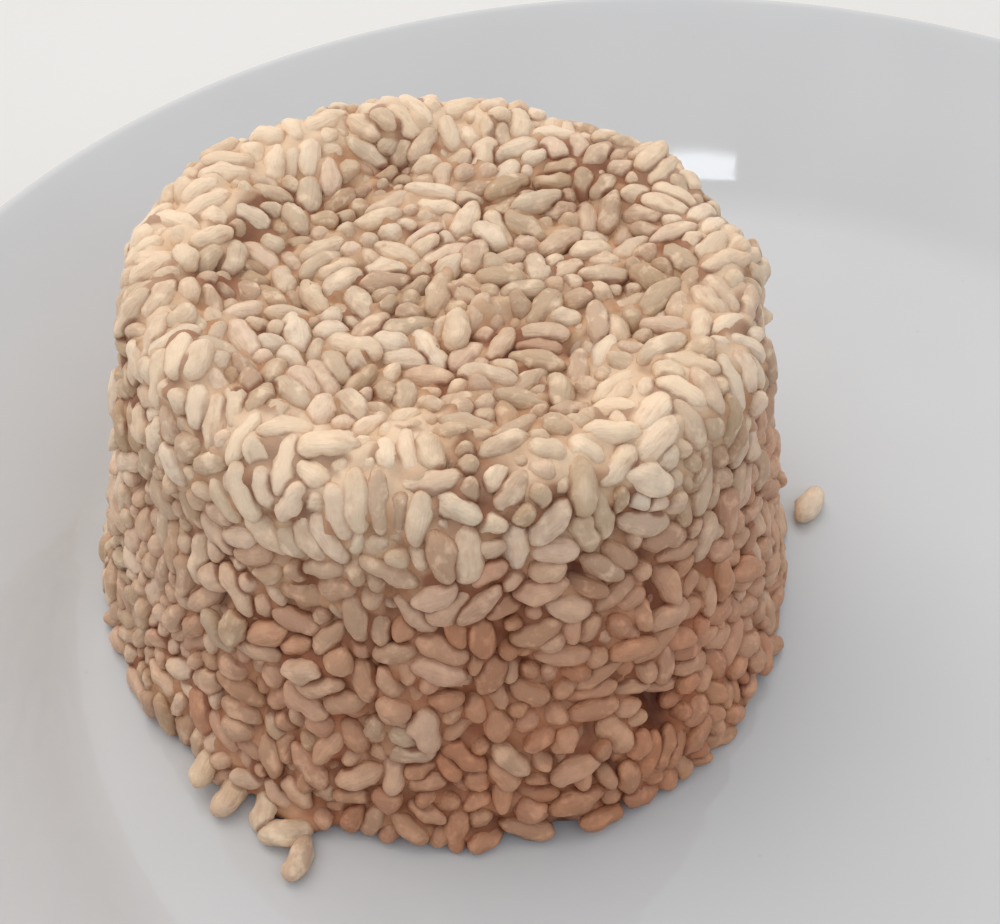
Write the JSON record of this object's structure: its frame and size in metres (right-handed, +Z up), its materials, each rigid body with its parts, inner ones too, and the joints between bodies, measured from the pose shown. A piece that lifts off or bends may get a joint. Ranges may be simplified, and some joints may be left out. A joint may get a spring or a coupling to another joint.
{
  "type": "moulded brown rice on a plate",
  "caption": "Cup-moulded mound of cooked brown rice with a tapered wall and dished top, on a round white wide-rimmed plate, with a few spilled grains.",
  "frame": {"origin": "on the table, under the middle of the plate, in the plane of the foot ring", "axes": "+Z up, +Y away from the viewer of the pictured side, +X to the viewer's right"},
  "size_m": [0.24, 0.24, 0.0567],
  "materials": {
    "plate": "gloss",
    "rice": "satin"
  },
  "bodies": {
    "root": {"plate": "plate", "rice_mound": "rice", "loose_grain": "rice"}
  },
  "joints": []
}
